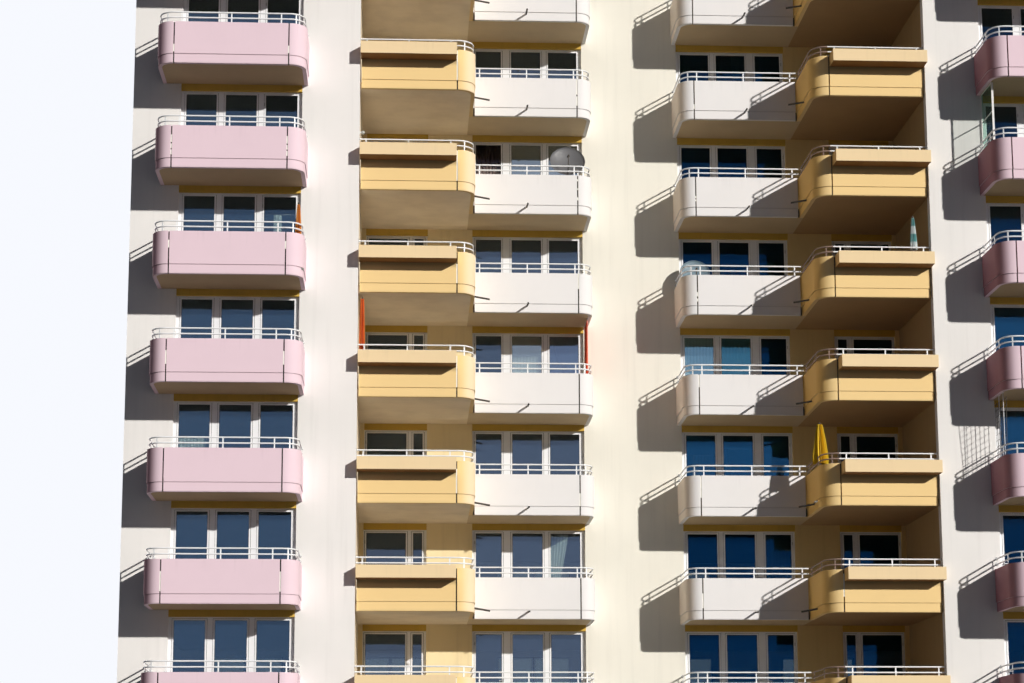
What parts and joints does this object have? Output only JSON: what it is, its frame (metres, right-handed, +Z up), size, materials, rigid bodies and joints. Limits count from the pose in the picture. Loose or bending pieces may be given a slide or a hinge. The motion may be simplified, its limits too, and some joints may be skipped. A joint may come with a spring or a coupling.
{
  "type": "apartment block",
  "caption": "Ten-storey apartment block with a stepped front, corner-rounded white, yellow and lilac precast balconies, planters and tube railings.",
  "frame": {"origin": "centre of the bounding box in plan, on the underside of the base slab", "axes": "+Z up; the balcony front faces -Y; +X along the front, towards the right for someone looking at it"},
  "size_m": [27.26, 14.5, 29.49],
  "materials": {
    "coping_metal": "satin",
    "concrete": "matte",
    "roofing": "matte",
    "cream_render": "matte",
    "ochre_render": "matte",
    "white_render": "matte",
    "soffit_paint": "matte",
    "white_panel": "matte",
    "yellow_panel": "matte",
    "lilac_panel": "matte",
    "planter_paint": "matte",
    "soil": "matte",
    "rail_paint": "satin",
    "drain": "matte",
    "window_frame": "satin",
    "window_glass": "gloss",
    "window_seal": "matte",
    "curtain_cloth": "matte"
  },
  "bodies": {
    "root": {"base_slab": "concrete", "centre_floors": "concrete", "wing_floors": "concrete", "roof_slab": "roofing", "front_upstands": "white_render", "side_upstands": "white_render", "rear_upstand": "white_render", "front_copings": "coping_metal", "side_copings": "coping_metal", "rear_coping": "coping_metal", "centre_wall": "cream_render", "bay_piers": "ochre_render", "bay_lintels": "ochre_render", "recess_side_walls": "white_render", "wing_piers": "white_render", "wing_lintels": "ochre_render", "gable_walls": "white_render", "rear_piers": "white_render", "rear_spandrels": "white_render", "white_slabs": "soffit_paint", "white_bands": "white_panel", "white_panels": "white_panel", "white_corners": "white_panel", "yellow_slabs": "soffit_paint", "yellow_bands": "yellow_panel", "yellow_panels": "yellow_panel", "yellow_corners": "yellow_panel", "lilac_slabs": "soffit_paint", "lilac_bands": "lilac_panel", "lilac_panels": "lilac_panel", "lilac_corners": "lilac_panel", "planters": "planter_paint", "planter_soil": "soil", "white_rails": "rail_paint", "white_side_rails": "rail_paint", "yellow_rails": "rail_paint", "yellow_side_rails": "rail_paint", "lilac_rails": "rail_paint", "lilac_side_rails": "rail_paint", "drain_spouts": "drain"}
  },
  "joints": []
}
